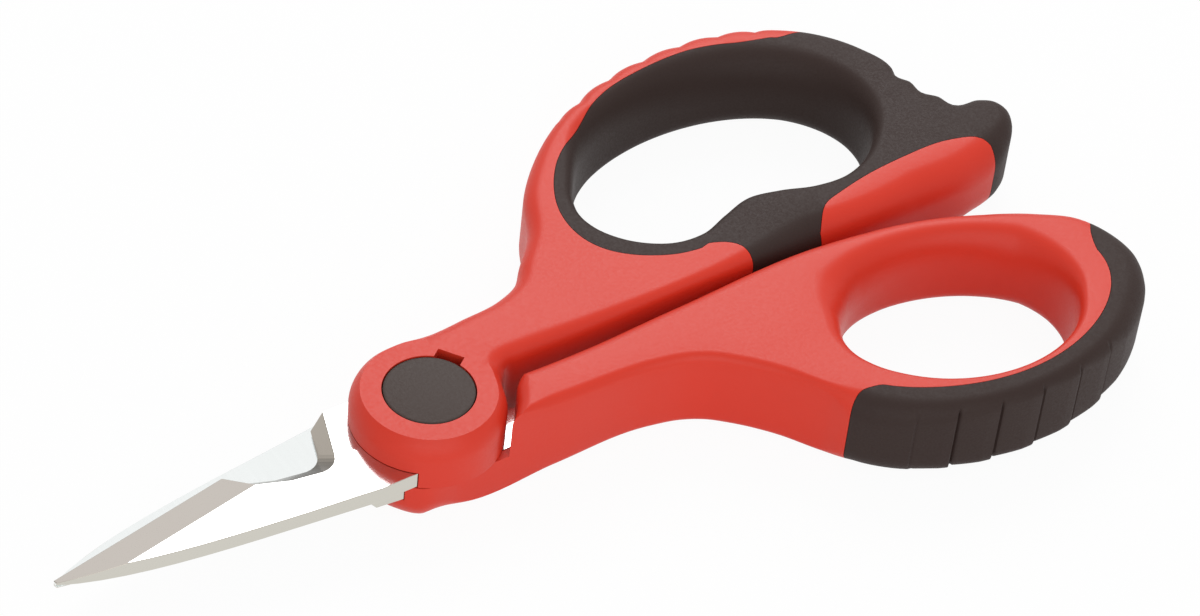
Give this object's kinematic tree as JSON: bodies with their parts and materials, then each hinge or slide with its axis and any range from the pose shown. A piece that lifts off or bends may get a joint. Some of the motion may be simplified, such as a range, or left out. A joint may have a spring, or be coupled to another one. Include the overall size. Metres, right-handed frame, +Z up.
{
  "type": "thread snips",
  "caption": "Short pointed snips: notched steel blades in looped handles of hard plastic with soft grips, opening about a capped pivot bolt.",
  "frame": {"origin": "on the pivot axis, at the flush underside of the pivot bolt and the boss", "axes": "+X from the pivot towards the finger loops, +Y towards the large loop, +Z up along the pivot axis"},
  "size_m": [0.16, 0.0827, 0.014],
  "materials": {
    "blade_steel": "fine ground",
    "red_core": "satin moulded",
    "soft_grip": "matte moulded",
    "cap_plastic": "satin moulded",
    "plated_hardware": "plated"
  },
  "bodies": {
    "large_half": {"upper_blade": "blade_steel", "large_loop_handle": "red_core", "large_loop_grip": "soft_grip", "pivot_cap": "cap_plastic", "pivot_bolt": "plated_hardware", "flat_washer": "plated_hardware", "spring_washer": "plated_hardware", "pivot_nut": "plated_hardware"},
    "small_half": {"lower_blade": "blade_steel", "small_loop_handle": "red_core", "small_loop_grip": "soft_grip"}
  },
  "joints": [
    {"name": "blade_pivot", "type": "hinge", "parent": "large_half", "child": "small_half", "pos_m": [0, 0, 0.0062], "axis": [0, 0, -1], "range_deg": [0, 60]}
  ]
}
